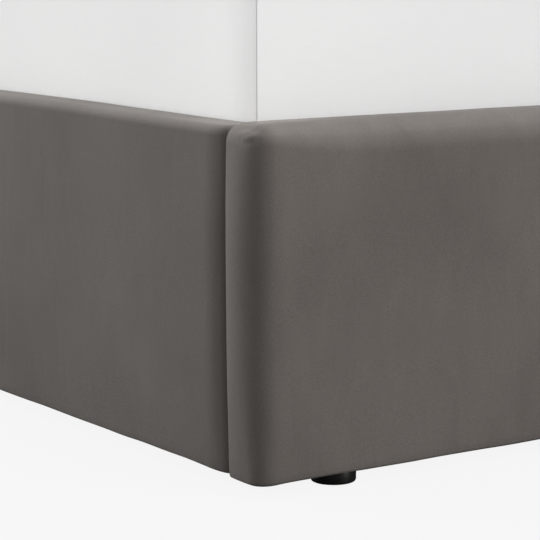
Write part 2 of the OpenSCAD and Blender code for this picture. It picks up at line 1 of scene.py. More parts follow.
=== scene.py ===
"""Looks of the upholstered bed: velvet panels, a stretched white sheet, timber, metal and plastic.

Every length is in metres, in the CAD model's own frame: +X right, +Y to the head end, +Z up.
"""

import json
import math

import bmesh
import bpy
import numpy as np
from mathutils import Matrix, Vector


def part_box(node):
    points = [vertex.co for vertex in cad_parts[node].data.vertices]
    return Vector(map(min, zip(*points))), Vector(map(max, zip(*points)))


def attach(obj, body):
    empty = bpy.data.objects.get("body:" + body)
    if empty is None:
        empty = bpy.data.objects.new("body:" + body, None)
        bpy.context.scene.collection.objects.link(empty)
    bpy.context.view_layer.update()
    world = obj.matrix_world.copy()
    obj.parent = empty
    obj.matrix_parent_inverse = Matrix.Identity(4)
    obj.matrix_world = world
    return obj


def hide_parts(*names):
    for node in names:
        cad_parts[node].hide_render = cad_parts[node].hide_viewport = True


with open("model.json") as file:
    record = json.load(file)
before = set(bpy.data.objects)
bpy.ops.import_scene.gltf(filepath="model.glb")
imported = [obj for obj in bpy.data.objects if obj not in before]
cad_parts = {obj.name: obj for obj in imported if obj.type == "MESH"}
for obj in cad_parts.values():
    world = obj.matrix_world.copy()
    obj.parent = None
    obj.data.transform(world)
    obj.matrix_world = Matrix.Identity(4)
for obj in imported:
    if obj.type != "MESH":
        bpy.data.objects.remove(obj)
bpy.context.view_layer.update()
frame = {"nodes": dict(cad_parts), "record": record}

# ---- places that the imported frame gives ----

foot_low, foot_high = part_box("footboard_cover")
rail_low, rail_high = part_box("right_rail_cover")
head_low, head_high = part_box("headboard_cover")
bed_low, bed_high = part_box("mattress")
foot_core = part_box("footboard_bars")
rail_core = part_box("right_rail_bars")
pad_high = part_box("headboard_end_pads")[1]

PANEL_Z, PANEL_TOP = foot_low.z, foot_high.z
BED_HALF = foot_high.x
HEAD_Y = head_low.y
HEAD_HALF = head_high.x
FOOT_SIZE = (foot_high.x - foot_low.x, foot_high.y - foot_low.y)
RAIL_SIZE = (rail_high.y - rail_low.y, rail_high.x - rail_low.x)

# ---- soft shapes that the boxes don't give ----

COVER = 0.0015                    # velvet with its backing
FOOT_RADII = (0.022, 0.005)       # front and back corners of the footboard in plan
RAIL_RADII = (0.013, 0.013)
FOOT_TOP_R, RAIL_TOP_R = 0.020, 0.010
DOME_BACK, DOME_DOWN = 0.028, 0.033   # the footboard's front rounds off over this much of its top and face
BOTTOM_R = 0.004
HEM_IN = 0.012
HEAD_T = 0.090
SWEEP_Z, SWEEP_R, SWEEP_A = 0.650, 0.650, math.radians(40)
ROLL_R = 0.062
SHEET = 0.0012
MATTRESS_R = 0.030                # corners of the mattress in plan
EDGE_R = 0.018                    # its top and bottom edges
HEM_UNDER = 0.110
CLOTH_STEP = 0.007                # mesh size on the velvet
FOAM_CLEARANCE = 0.0003           # between the padding and the boards

# the footboard's padded end in plan: how far it has turned, in degrees, at distances along it
END_TURN_AT, END_TURN = (0, 0.027, 0.048, 0.083), (-25, 0, 25, 90)
END_START = 0.0015                # how far past the CAD end its back edge begins
END_OVER = (0.030, 0.100)         # the padding's end fades out between these distances from the end

RAIL_FULL_OUT, RAIL_FULL_IN = 0.0030, 0.0010     # how proud a rail's padding stands, outside and inside
RAIL_DRAW_OUT, RAIL_DRAW_IN = 0.0080, 0.0012     # how far its ends are drawn in
RAIL_DRAW_OVER = 0.033
RAIL_SINK, RAIL_SINK_OVER = 0.0049, 0.275        # its top sinks towards the footboard

HEAD_DRAW, HEAD_DRAW_OVER = 0.0040, 0.016        # the headboard's cover is drawn in at its ends

FOLD_RUN = 0.10                   # a corner fold of the sheet is let out over this length of the edge
FOLD_PROUD, FOLD_DRAW = 0.0052, 0.0026           # the long side stands proud, and is drawn in to the fold
FOLD_DRAW_OVER = 0.044


# ---- numbers ----

def smooth(t):
    t = np.clip(t, 0.0, 1.0)
    return t * t * (3 - 2 * t)


def bell(x, width):
    return np.exp(-(x / width) ** 2)


def lattice(ix, iy, iz, seed):
    """Repeatable numbers from -1 to 1 at whole-number places."""
    h = (ix * 73856093) ^ (iy * 19349663) ^ (iz * 83492791) ^ (seed * 2654435761)
    h = (h ^ (h >> 13)) * 1274126177
    return ((h ^ (h >> 16)) & 0xFFFF) / 32767.5 - 1.0


def waves(points, size, seed):
    """Smooth noise from -1 to 1, with bumps of that length along X, Y and Z."""
    p = points / np.asarray(size, float)
    base = np.floor(p).astype(np.int64)
    f = smooth(p - base)
    total = 0.0
    for dx in (0, 1):
        for dy in (0, 1):
            for dz in (0, 1):
                weight = np.abs(1 - dx - f[..., 0]) * np.abs(1 - dy - f[..., 1]) * np.abs(1 - dz - f[..., 2])
                corner = base + (dx, dy, dz)
                total = total + weight * lattice(corner[..., 0], corner[..., 1], corner[..., 2], seed)
    return total


# ---- meshes ----

def mesh_object(name, points, faces, weld=0.0):
    """A smooth-shaded mesh. Points nearer than weld are merged, and its faces look outwards."""
    mesh = bpy.data.meshes.new(name)
    mesh.from_pydata([tuple(p) for p in np.asarray(points).reshape(-1, 3)], [], faces)
    bm = bmesh.new()
    bm.from_mesh(mesh)
    if weld:
        bmesh.ops.remove_doubles(bm, verts=bm.verts, dist=weld)
        bmesh.ops.dissolve_degenerate(bm, dist=weld / 10, edges=bm.edges)
    bmesh.ops.recalc_face_normals(bm, faces=bm.faces)
    bm.to_mesh(mesh)
    bm.free()
    mesh.validate()
    mesh.polygons.foreach_set("use_smooth", [True] * len(mesh.polygons))
    piece = bpy.data.objects.new(name, mesh)
    bpy.context.scene.collection.objects.link(piece)
    return piece


def quads(rows, columns, wrap_rows=False, wrap_columns=False, start=0):
    """Faces between neighbouring points of a grid, stored row by row."""
    faces = []
    for i in range(rows if wrap_rows else rows - 1):
        a = start + i * columns
        b = start + ((i + 1) % rows) * columns
        for j in range(columns if wrap_columns else columns - 1):
            k = (j + 1) % columns
            faces.append((a + j, a + k, b + k, b + j))
    return faces


def thick_sheet(name, grid, inward, weld=0.0001):
    """A closed solid between a grid of points and the same grid moved inward."""
    rows, columns = grid.shape[:2]
    n = rows * columns
    points = np.concatenate([grid.reshape(-1, 3), (grid + inward).reshape(-1, 3)])
    faces = quads(rows, columns) + [f[::-1] for f in quads(rows, columns, start=n)]
    last = (rows - 1) * columns
    rim = list(range(columns))
    rim += [r * columns + columns - 1 for r in range(1, rows)]
    rim += list(range(last + columns - 2, last - 1, -1))
    rim += [r * columns for r in range(rows - 2, 0, -1)]
    for a, b in zip(rim, rim[1:] + rim[:1]):
        faces.append((b, a, a + n, b + n))
    return mesh_object(name, points, faces, weld)


def cord_along(name, path, radius, closed=False, sides=10):
    """A round cord through a row of points."""
    path = np.asarray(path, float)
    ahead = np.roll(path, -1, 0) - path
    if not closed:
        ahead[-1] = ahead[-2]
    behind = np.roll(ahead, 1, 0)
    if not closed:
        behind[0] = ahead[0]
    unit = ahead / np.linalg.norm(ahead, axis=1)[:, None] + behind / np.linalg.norm(behind, axis=1)[:, None]
    unit /= np.linalg.norm(unit, axis=1)[:, None]
    flat = int(np.argmin(np.abs(unit).max(0)))
    side = np.cross(unit, np.eye(3)[flat])
    side /= np.linalg.norm(side, axis=1)[:, None]
    other = np.cross(unit, side)
    turn = np.linspace(0, 2 * math.pi, sides, endpoint=False)[None, :, None]
    rings = path[:, None] + radius * (np.cos(turn) * side[:, None] + np.sin(turn) * other[:, None])
    faces = quads(len(path), sides, closed, True)
    if not closed:
        end = (len(path) - 1) * sides
        faces += [tuple(range(sides)), tuple(range(end, end + sides))]
    return mesh_object(name, rings, faces)


# ---- block shapes: rings that follow a rounded outline, from a hem up to the middle of the top ----

def outline(size, radii, inset, counts):
    """Points and outward normals round a rectangle in plan, shrunk by inset. radii are those of its near
    and far corners, and counts the points along X, along Y and round a corner."""
    half = np.array(size) / 2 - inset
    corners = [(1, -1, radii[0], -90), (1, 1, radii[1], 0), (-1, 1, radii[1], 90), (-1, -1, radii[0], 180)]
    rounds = [min(max(c[2] - inset, 0.0), *np.maximum(half, 0)) for c in corners]
    centres = [np.array(c[:2]) * np.maximum(half - r, 0) for c, r in zip(corners, rounds)]
    points, normals = [], []
    for i, corner in enumerate(corners):
        a0 = math.radians(corner[3])
        facing = np.array((math.cos(a0), math.sin(a0)))
        begin = centres[i - 1] + rounds[i - 1] * facing
        end = centres[i] + rounds[i] * facing
        n = counts[i % 2]
        for t in np.arange(1, n) / n:
            points.append(begin + (end - begin) * t)
            normals.append(facing)
        for a in a0 + np.linspace(0, math.pi / 2, counts[2] + 1):
            normals.append(np.array((math.cos(a), math.sin(a))))
            points.append(centres[i] + rounds[i] * normals[-1])
    return np.array(points), np.array(normals)


def profile(z0, z1, reach, inset, top_r, bottom_r, hem, rows):
    """(inset, z, outwards, upwards) of each ring, from hem inwards under the block to reach inwards over it.
    rows are the numbers of rings up the wall and over the top, and perhaps round the top edge."""
    rings = [(inset + hem, z0, 0.0, -1.0)]
    under = max(int((hem - bottom_r) / 0.02), 1)
    rings += [(inset + hem + (bottom_r - hem) * t, z0, 0.0, -1.0) for t in np.arange(1, under) / under]
    for a in np.linspace(0, math.pi / 2, 6):
        rings.append((inset + bottom_r * (1 - math.sin(a)), z0 + bottom_r * (1 - math.cos(a)),
                      math.sin(a), -math.cos(a)))
    wall = z1 - z0 - bottom_r - top_r
    for t in (*(np.arange(1, rows[0]) / rows[0]), 1 - 0.0015 / wall):
        rings.append((inset, z0 + bottom_r + t * wall, 1.0, 0.0))
    for a in np.linspace(0, math.pi / 2, rows[2] if len(rows) > 2 else 9):
        out, up = math.cos(a), math.sin(a)
        rings.append((inset + top_r * (1 - out), z1 - top_r * (1 - up), out, up))
    for t in np.arange(1, rows[1] + 1) / rows[1]:
        rings.append((inset + top_r + t * (reach - inset - top_r), z1, 0.0, 1.0))
    return rings


def block_skin(name, size, radii, layers, counts, shape, place, turned=False, weld=0.0003):
    """A closed skin through the rings of its layers. shape(points, outwards) says how far each point moves.
    Points are worked out round the block's own centre, with its long side along X unless turned."""
    points, outwards = [], []
    for inset, z, out, up in layers:
        plan, normal = outline(size, radii, inset, counts)
        points.append(np.column_stack([plan, np.full(len(plan), z)]))
        outwards.append(np.column_stack([normal * out, np.full(len(plan), up)]))
    points, outwards = np.array(points), np.array(outwards)
    points = points + shape(points, outwards)
    if turned:
        points = np.stack([-points[..., 1], points[..., 0], points[..., 2]], -1)
    points = points + np.array([place[0], place[1], 0.0])
    return mesh_object(name, points, quads(points.shape[0], points.shape[1], False, True), weld)


# ---- velvet panels ----

def panel_layers(depth, top_r):
    """Outside and inside of a panel's cover."""
    walls = int((PANEL_TOP - PANEL_Z) / CLOTH_STEP)
    outer = profile(PANEL_Z, PANEL_TOP, depth / 2, 0.0, top_r, BOTTOM_R, HEM_IN, (walls, 4, 15))
    inner = profile(PANEL_Z + COVER, PANEL_TOP - COVER, depth / 2, COVER, top_r - COVER, BOTTOM_R - COVER,
                    HEM_IN - COVER, (12, 2))
    return inner[::-1] + outer


def up_the_panel(z):
    """0 at the bottom of a panel and 1 at its top."""
    return np.clip((z - PANEL_Z) / (PANEL_TOP - PANEL_Z), 0, 1)


def unevenness(points, seed):
    """Slow waves in the padding, and small puckers along the stapled bottom edge."""
    slow = 0.0006 * waves(points, (0.23, 0.23, 0.16), seed)
    slow = slow + 0.0002 * waves(points, (0.07, 0.07, 0.06), seed + 1)
    low = bell(np.clip(points[..., 2] - PANEL_Z, 0, None), 0.022)
    return slow + 0.0006 * low * waves(points, (0.045, 0.045, 0.2), seed + 2)


def hem_drop(z):
    return smooth(1 - (z - PANEL_Z) / 0.030)


def domed_front(back, down):
    """Where points go so that the front of the footboard rounds off in a wide curve. back and down are their
    distances from the front face and from the top."""
    r, height, flat_end = FOOT_TOP_R, PANEL_TOP - PANEL_Z, FOOT_SIZE[1] - FOOT_TOP_R
    top_back = DOME_BACK + (back - r) * (flat_end - DOME_BACK) / (flat_end - r)
    arc_back = back + back * (DOME_BACK / r - 1) * smooth((r - down) / 0.006)
    new_back = np.where(back < r, arc_back, np.where(back < flat_end, top_back, back))
    arc_down = down + down * (DOME_DOWN / r - 1) * smooth((r - back) / 0.006)
    wall_down = DOME_DOWN + (down - r) * (height - DOME_DOWN) / (height - r)
    new_down = np.where(down < r, arc_down, np.where(back < r, wall_down, down))
    return new_back, new_down


def end_curve():
    """The footboard's padded end in plan, from its back edge round to its front: distances along it, from its
    end and from its front face. It turns slowly over the end, then faster round the corner."""
    step = 0.0005
    along = np.arange(0, END_TURN_AT[-1] + step, step)
    turn = np.radians(np.interp(along, END_TURN_AT, END_TURN))
    from_end = np.concatenate([[0], np.cumsum(np.sin(turn)) * step]) - END_START
    back = FOOT_SIZE[1] - np.concatenate([[0], np.cumsum(np.cos(turn)) * step])
    return np.append(along, along[-1] + step), from_end, back


def plain_end():
    """The same three rows for the outline that end_curve reshapes."""
    r, depth = FOOT_RADII[0], FOOT_SIZE[1]
    turn = np.linspace(0, math.pi / 2, 40)
    along = np.concatenate([[0], depth - r + r * turn, [depth - r + r * math.pi / 2 + 0.2]])
    from_end = np.concatenate([[0], r * (1 - np.cos(turn)), [r + 0.2]])
    back = np.concatenate([[depth], r * (1 - np.sin(turn)), [0]])
    return along, from_end, back


def padded_end(from_end, back):
    """How far points of the footboard's outline move in from its end and back from its front."""
    r, depth = FOOT_RADII[0], FOOT_SIZE[1]
    turn = np.arctan2(np.clip(r - back, 0, None), np.clip(r - from_end, 0.0001, None))
    round_it = depth - r + r * turn + np.clip(from_end - r, 0, None)
    along = np.where(back > r, depth - back, round_it)
    padded, plain = end_curve(), plain_end()
    in_from_end, in_back = [np.interp(along, padded[0], padded[i]) - np.interp(along, plain[0], plain[i])
                            for i in (1, 2)]
    fade = smooth((from_end - END_OVER[0]) / (END_OVER[1] - END_OVER[0]))
    return in_from_end * (1 - fade), in_back


def footboard_shape(points, outwards):
    """The footboard's padding: full round ends, a front domed up and over its top, and a crumpled tuck."""
    half, depth = FOOT_SIZE[0] / 2, FOOT_SIZE[1] / 2
    x, y, z = points[..., 0], points[..., 1], points[..., 2]
    skin = np.linalg.norm(outwards, axis=-1)
    from_end, back, down = half - np.abs(x), y + depth, PANEL_TOP - z
    h = up_the_panel(z)
    behind = np.clip(outwards[..., 1], 0, 1)
    amount = unevenness(points, 11) * (1 - 0.85 * behind)
    # a small tuck, crumpled where the cover folds round each top corner, and a crease below it
    near = bell(back - 0.020, 0.013) * bell(from_end - 0.004, 0.014)
    crumple = bell(down - 0.0090, 0.0060) * waves(points, (0.0060, 0.0070, 0.0050), 15)
    crease = bell(down - 0.0110, 0.0040) - 1.2 * bell(down - 0.0170, 0.0040)
    amount = amount + near * (0.0020 * crumple + 0.0008 * crease)
    move = outwards * amount[..., None]
    belly = h ** 1.3
    full = skin * (4 * belly * (1 - belly)) ** 0.45
    in_from_end, in_back = padded_end(from_end, back)
    move[..., 0] -= np.sign(x) * full * in_from_end
    move[..., 1] += full * in_back
    new_back, new_down = domed_front(back, down)
    wide = skin * smooth((from_end - 0.008) / 0.11)
    move[..., 1] += wide * (new_back - back)
    move[..., 2] -= wide * (new_down - down)
    # the hem hangs lowest at the ends
    move[..., 2] -= (0.0009 + 0.0017 * bell(from_end, 0.018)) * skin * hem_drop(z)
    return move


def rail_shape(side):
    """The padding of one rail. side is -1 for the left rail."""
    def shape(points, outwards):
        half, depth = RAIL_SIZE[0] / 2, RAIL_SIZE[1] / 2
        x, y, z = points[..., 0], points[..., 1], points[..., 2]
        skin = np.linalg.norm(outwards, axis=-1)
        h = up_the_panel(z)
        from_end, from_foot = half - np.abs(x), half + x
        # the cover is full, and drawn in towards both ends, most on its outside
        end = np.clip(1 - from_end / RAIL_DRAW_OVER, 0, 1) ** 2
        outside = np.clip(-side * y / depth, 0, 1) ** 2
        inside = np.clip(side * y / depth, 0, 1) ** 2
        full = (RAIL_FULL_OUT * outside + RAIL_FULL_IN * inside) * (4 * h * (1 - h)) ** 0.7
        move = outwards * (full * (1 - end) + unevenness(points, 23))[..., None]
        move[..., 1] += side * (RAIL_DRAW_OUT * outside - RAIL_DRAW_IN * inside) * end * skin
        # its top sinks a little towards the footboard, and its hem hangs there
        near_top = smooth(1 - (PANEL_TOP - z) / 0.12)
        move[..., 2] -= RAIL_SINK * bell(from_foot, RAIL_SINK_OVER) * near_top * skin
        move[..., 2] -= 0.0017 * bell(from_foot, 0.060) * hem_drop(z) * skin
        return move
    return shape


def panels():
    """Each panel's name, size, corner radii, top radius, shape and place, and whether it runs along Y."""
    foot_place = (0.0, (foot_low.y + foot_high.y) / 2)
    yield "footboard", FOOT_SIZE, FOOT_RADII, FOOT_TOP_R, footboard_shape, foot_place, False
    for side, name in ((-1, "left_rail"), (1, "right_rail")):
        place = (side * (rail_low.x + rail_high.x) / 2, (rail_low.y + rail_high.y) / 2)
        yield name, RAIL_SIZE, RAIL_RADII, RAIL_TOP_R, rail_shape(side), place, True


def velvet_panels():
    """The covers of the footboard and of both side rails."""
    covers = []
    for name, size, radii, top_r, shape, place, turned in panels():
        corner, least = (8, 5) if turned else (12, 24)
        counts = (int(size[0] / CLOTH_STEP), max(int(size[1] / CLOTH_STEP), least), corner)
        layers = panel_layers(size[1], top_r)
        cover = block_skin(name + "_velvet", size, radii, layers, counts, shape, place, turned)
        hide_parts(name + "_cover")
        covers.append(cover)
    return covers


# ---- foam round the boards of those panels ----

def foam_layers(depth, core_depth, core_top, top_r):
    """Foam between a cover and the boards, open below. Only its outside follows the cover's shape."""
    inset = COVER + 0.0004
    core = (depth - core_depth) / 2 - FOAM_CLEARANCE
    outer = profile(PANEL_Z + inset, PANEL_TOP - inset, depth / 2, inset, top_r - inset, 0.001,
                    core - inset, (24, 2))
    inner = profile(PANEL_Z + inset, core_top + FOAM_CLEARANCE, depth / 2, core, 0.0005, 0.0001,
                    0.0002, (6, 2))
    return [(away, z, 0.0, 0.0) for away, z, _, _ in inner[::-1]] + outer


def panel_foam():
    """Padding of the footboard and of both side rails."""
    pads = []
    for name, size, radii, top_r, shape, place, turned in panels():
        core = rail_core if turned else foot_core
        core_depth = (core[1].x - core[0].x if turned else core[1].y - core[0].y) + 0.008
        layers = foam_layers(size[1], core_depth, core[1].z, top_r)
        counts = (200 if turned else 160, 4, 8)
        pad = block_skin(name + "_padding", size, radii, layers, counts, shape, place, turned)
        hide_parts(name + "_foam")
        pads.append(pad)
    return pads


# ---- headboard ----

def arc(centre, radius, start, stop, sign, step):
    """(point, outward normal) pairs along an arc in the Y-Z plane."""
    n = max(int(abs(stop - start) * radius / step), 4)
    turn = np.linspace(start, stop, n + 1)
    unit = np.column_stack([np.cos(turn), np.sin(turn)])
    return [(np.array(centre) + radius * u, sign * u) for u in unit]


def upright(y, z0, z1, facing, step):
    n = max(int(abs(z1 - z0) / step), 2)
    return [(np.array((y, z)), np.array((facing, 0.0))) for z in np.linspace(z0, z1, n + 1)]


def swept_profile(inset, step):
    """The headboard's outline as runs of (point, normal): up its front, over the roll, down its back."""
    centre = (HEAD_Y + SWEEP_R, SWEEP_Z)
    reach = SWEEP_R - ROLL_R
    roll_centre = (centre[0] - reach * math.cos(SWEEP_A), centre[1] + reach * math.sin(SWEEP_A))
    front_r, back_r, roll = SWEEP_R - inset, SWEEP_R - HEAD_T + inset, ROLL_R - inset
    crease = SWEEP_A - math.acos((back_r ** 2 + reach ** 2 - roll ** 2) / (2 * back_r * reach))
    meet = (centre[0] - back_r * math.cos(crease), centre[1] + back_r * math.sin(crease))
    meet_angle = math.atan2(meet[1] - roll_centre[1], meet[0] - roll_centre[0])
    low = PANEL_Z + inset + BOTTOM_R
    front = upright(HEAD_Y + inset, low, SWEEP_Z, -1.0, step)[:-1]
    front += arc(centre, front_r, math.pi, math.pi - SWEEP_A, 1.0, step)[:-1]
    over = arc(roll_centre, roll, math.pi - SWEEP_A, meet_angle, 1.0, step * 0.8)
    back = arc(centre, back_r, math.pi - crease, math.pi, -1.0, step)[1:]
    back += upright(HEAD_Y + HEAD_T - inset, SWEEP_Z, low, 1.0, step)[1:]
    return front, over, back


def unzip(run):
    return np.array([p for p, _ in run]), np.array([n for _, n in run])


def spread_along_x(path, half, step):
    """The grid of a profile repeated along X."""
    xs = np.linspace(-half, half, int(2 * half / step) + 1)
    grid = np.empty((len(xs), len(path), 3))
    grid[..., 0] = xs[:, None]
    grid[..., 1:] = path[None]
    return grid


def hemmed_path():
    """The cover's path: its hem under the front, the outline, and its hem under the back."""
    front, over, back = swept_profile(0.0, 0.009)
    r = BOTTOM_R
    near = arc((HEAD_Y + r, PANEL_Z + r), r, 1.5 * math.pi, math.pi, 1.0, 0.002)[:-1]
    far = arc((HEAD_Y + HEAD_T - r, PANEL_Z + r), r, 0.0, -0.5 * math.pi, 1.0, 0.002)[1:]
    down = np.array((0.0, -1.0))
    hem = [(np.array((HEAD_Y + HEM_IN, PANEL_Z)), down)]
    end = [(np.array((HEAD_Y + HEAD_T - HEM_IN, PANEL_Z)), down)]
    return unzip(hem + near + front + over + back + far + end)


def headboard_shape(grid):
    """How proud the headboard's cover stands: slow waves, drawn in at its ends and at its foot."""
    end = np.exp(-(HEAD_HALF - np.abs(grid[..., 0])) / HEAD_DRAW_OVER)
    low = bell(np.clip(grid[..., 2] - PANEL_Z, 0, None), 0.05)
    slow = 0.0016 * waves(grid, (0.36, 0.3, 0.3), 41) + 0.0004 * waves(grid, (0.09, 0.09, 0.08), 42)
    return (0.0012 + slow) * (1 - 0.8 * low) - HEAD_DRAW * end


def headboard_velvet():
    path, normals = hemmed_path()
    grid = spread_along_x(path, HEAD_HALF, 0.010)
    outwards = np.zeros_like(grid)
    outwards[..., 1:] = normals[None]
    grid = grid + outwards * headboard_shape(grid)[..., None]
    piece = thick_sheet("headboard_velvet", grid, -COVER * outwards)
    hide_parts("headboard_cover")
    return piece


def headboard_layer(name, node, runs, thickness):
    """Padding under the cover, along some of the profile's runs. thickness is one number for each run."""
    profile_runs = swept_profile(COVER + 0.0003, 0.03)
    chosen = [profile_runs[i] for i in runs]
    path, normals = unzip(sum(chosen, []))
    depth = np.concatenate([np.full(len(run), t) for run, t in zip(chosen, thickness)])
    for _ in range(3):
        depth[1:-1] = (depth[:-2] + depth[1:-1] + depth[2:]) / 3
    grid = spread_along_x(path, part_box(node)[1].x, 0.02)
    outwards = np.zeros_like(grid)
    outwards[..., 1:] = normals[None]
    move = np.minimum(headboard_shape(grid), 0) + 0.0003 * waves(grid, (0.04, 0.04, 0.04), 73)
    drawn = outwards * move[..., None]
    inward = -outwards * depth[None, :, None] - drawn
    grid = grid + drawn
    piece = thick_sheet(name, grid, inward)
    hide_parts(node)
    return piece


def resample(points, count):
    along = np.concatenate([[0], np.cumsum(np.linalg.norm(np.diff(points, axis=0), axis=1))])
    at = np.linspace(0, along[-1], count)
    return np.column_stack([np.interp(at, along, points[:, i]) for i in range(points.shape[1])])


def end_panel(name, side, inset, face_x, depth, dome, rows=130, columns=13):
    """A panel of the headboard's outline that closes one of its ends, domed over its pad."""
    front, over, back = swept_profile(inset, 0.008)
    middle = len(over) // 2
    near = resample(unzip(front + over[:middle + 1])[0], rows)
    far = resample(unzip(over[middle:] + back)[0][::-1], rows)
    across = np.linspace(0, 1, columns)[None, :, None]
    flat = near[:, None] * (1 - across) + far[:, None] * across
    up = np.linspace(0, 1, rows)[:, None]
    rise = dome * (1 - (2 * across[..., 0] - 1) ** 2) * smooth(np.minimum(up, 1 - up) / 0.05)
    grid = np.empty((rows, columns, 3))
    grid[..., 1:] = flat
    grid[..., 0] = face_x + rise + 0.0003 * waves(np.dstack([rise * 0, flat]), (1, 0.05, 0.08), 57)
    grid[..., 0] *= side
    inward = np.zeros_like(grid)
    inward[..., 0] = -side * depth
    return thick_sheet(name, grid, inward)


def end_piping(name, side, radius=0.0028):
    front, over, back = swept_profile(0.0026, 0.008)
    path = unzip(front + over + back)[0]
    points = np.column_stack([np.full(len(path), side * (BED_HALF - 0.0018)), path])
    return cord_along(name, points, radius)


def headboard():
    """Cover, facings, piping and padding of the headboard."""
    velvets = [headboard_velvet()]
    pads = [
        headboard_layer("headboard_padding", "headboard_foam", (0, 1), (0.0246, 0.043)),
        headboard_layer("headboard_wadding", "headboard_back_wadding", (2,), (0.0045,)),
    ]
    for side, name in ((-1, "left"), (1, "right")):
        facing = end_panel("headboard_facing_" + name, side, 0.0040, BED_HALF - 0.0016, 0.0015, 0.0022)
        pad = end_panel("headboard_end_pad_" + name, side, 0.0080, pad_high.x - 0.0016, 0.0062, 0.0012, 50, 5)
        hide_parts("headboard_end_facings")
        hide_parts("headboard_end_pads")
        velvets += [facing, end_piping("headboard_piping_" + name, side)]
        pads.append(pad)
    return velvets, pads


# ---- mattress and fitted sheet ----

BED_SIZE = (bed_high.x - bed_low.x, bed_high.y - bed_low.y)
BED_PLACE = ((bed_low.x + bed_high.x) / 2, (bed_low.y + bed_high.y) / 2)


def bed_gaps(points):
    """Distances in from the long sides and from the ends of the mattress."""
    return BED_SIZE[0] / 2 - np.abs(points[..., 0]), BED_SIZE[1] / 2 - np.abs(points[..., 1])


def mattress_form(points, outwards):
    """The stuffed form that the mattress and its sheet share: soft sides, a slightly crowned top."""
    gap_x, gap_y = bed_gaps(points)
    middle = smooth(gap_x / 0.25) * smooth(gap_y / 0.25)
    crown = 0.004 * middle * np.clip(outwards[..., 2], 0, 1)
    slow = 0.0012 * waves(points, (0.45, 0.45, 0.3), 81) * (0.3 + 0.7 * np.clip(outwards[..., 2], 0, 1))
    return outwards * (crown + slow * smooth((points[..., 2] - bed_low.z) / 0.08))[..., None]


def corner_fold(points, outwards, strength):
    """Moves along X and Y that turn each round corner into a fold. The end of the bed runs flat up to the
    fold, and the long side, which stands proud, is drawn in to it."""
    x, y = points[..., 0], points[..., 1]
    gap_x, gap_y = bed_gaps(points)
    lateral = np.hypot(outwards[..., 0], outwards[..., 1])
    inset = EDGE_R * (1 - lateral)
    in_x, in_y = np.clip(MATTRESS_R - gap_x, 0, None), np.clip(MATTRESS_R - gap_y, 0, None)
    turn = np.arctan2(in_y, np.maximum(in_x, 0.00001))
    r = np.clip(MATTRESS_R - inset, 0.001, None)
    proud = np.hypot(in_x, in_y) - r
    on_end = turn > math.pi / 4
    beyond = np.where(on_end, np.clip(gap_x - MATTRESS_R, 0, None), np.clip(gap_y - MATTRESS_R, 0, None))
    from_fold = r * np.abs(turn - math.pi / 4) + beyond
    straight = from_fold + (r - r * math.pi / 4) * np.clip(from_fold / FOLD_RUN, 0, 1)
    side = -FOLD_PROUD + FOLD_DRAW * np.clip(1 - straight / FOLD_DRAW_OVER, 0, 1) ** 2
    let_out = FOLD_DRAW * np.clip(1 - straight / FOLD_RUN, 0, 1)
    new_x = np.where(on_end, straight - let_out, side)
    new_y = np.where(on_end, 0.0, straight)
    in_by_x = gap_x + proud * np.cos(turn) - inset - new_x
    in_by_y = gap_y + proud * np.sin(turn) - inset - new_y
    h = np.clip((points[..., 2] - bed_low.z) / (bed_high.z - bed_low.z), 0, 1)
    weight = strength * lateral * (1 - np.abs(2 * h - 1) ** 10)
    return np.stack([np.sign(x) * weight * in_by_x, np.sign(y) * weight * in_by_y, 0 * x], -1)


def sheet_shape(points, outwards):
    """Tension folds, gathers and corner folds of the fitted sheet, over the mattress's own form."""
    move = mattress_form(points, outwards) + corner_fold(points, outwards, 1.0)
    side = np.hypot(outwards[..., 0], outwards[..., 1])
    top = np.clip(outwards[..., 2], 0, 1)
    gap_x, gap_y = bed_gaps(points)
    corner = np.hypot(gap_x, gap_y)
    # folds that run from the corners over the top
    angle = np.arctan2(gap_y + 0.02, gap_x + 0.02)
    fan = np.sin(angle * 19 + 1.3 * waves(points, (0.3, 0.3, 0.3), 83))
    amount = 0.0010 * fan * top * bell(corner - 0.16, 0.13) * smooth(np.minimum(gap_x, gap_y) / 0.05)
    amount = amount + 0.0004 * waves(points, (0.05, 0.22, 0.4), 84) * top
    # a few long soft creases over the top
    amount = amount + 0.0018 * (1 - np.abs(waves(points, (0.42, 0.20, 1.0), 88))) ** 7 * top
    # elastic draws the hem into small gathers below the edge
    low = smooth((bed_low.z + 0.06 - points[..., 2]) / 0.06) * side
    amount = amount + 0.0008 * low * waves(points, (0.022, 0.022, 0.3), 85)
    amount = amount + 0.0004 * side * waves(points, (0.12, 0.12, 0.25), 86)
    # less of it where the sheet lies on the slats
    under = np.clip(-outwards[..., 2], 0, 1)
    amount = amount + 0.0004 * under * waves(points, (0.03, 0.03, 0.3), 87)
    return move + outwards * amount[..., None]


def fitted_sheet():
    size = (BED_SIZE[0] + 2 * SHEET, BED_SIZE[1] + 2 * SHEET)
    r = MATTRESS_R + SHEET
    reach = size[0] / 2
    outer = profile(bed_low.z - SHEET, bed_high.z + SHEET, reach, 0.0, EDGE_R, EDGE_R, HEM_UNDER, (26, 40))
    inner = profile(bed_low.z, bed_high.z, reach, SHEET, EDGE_R - SHEET, EDGE_R - SHEET,
                    HEM_UNDER - SHEET, (16, 18))
    piece = block_skin("white_fitted_sheet", size, (r, r), inner[::-1] + outer, (110, 150, 40),
                       sheet_shape, BED_PLACE)
    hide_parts("fitted_sheet")
    return piece


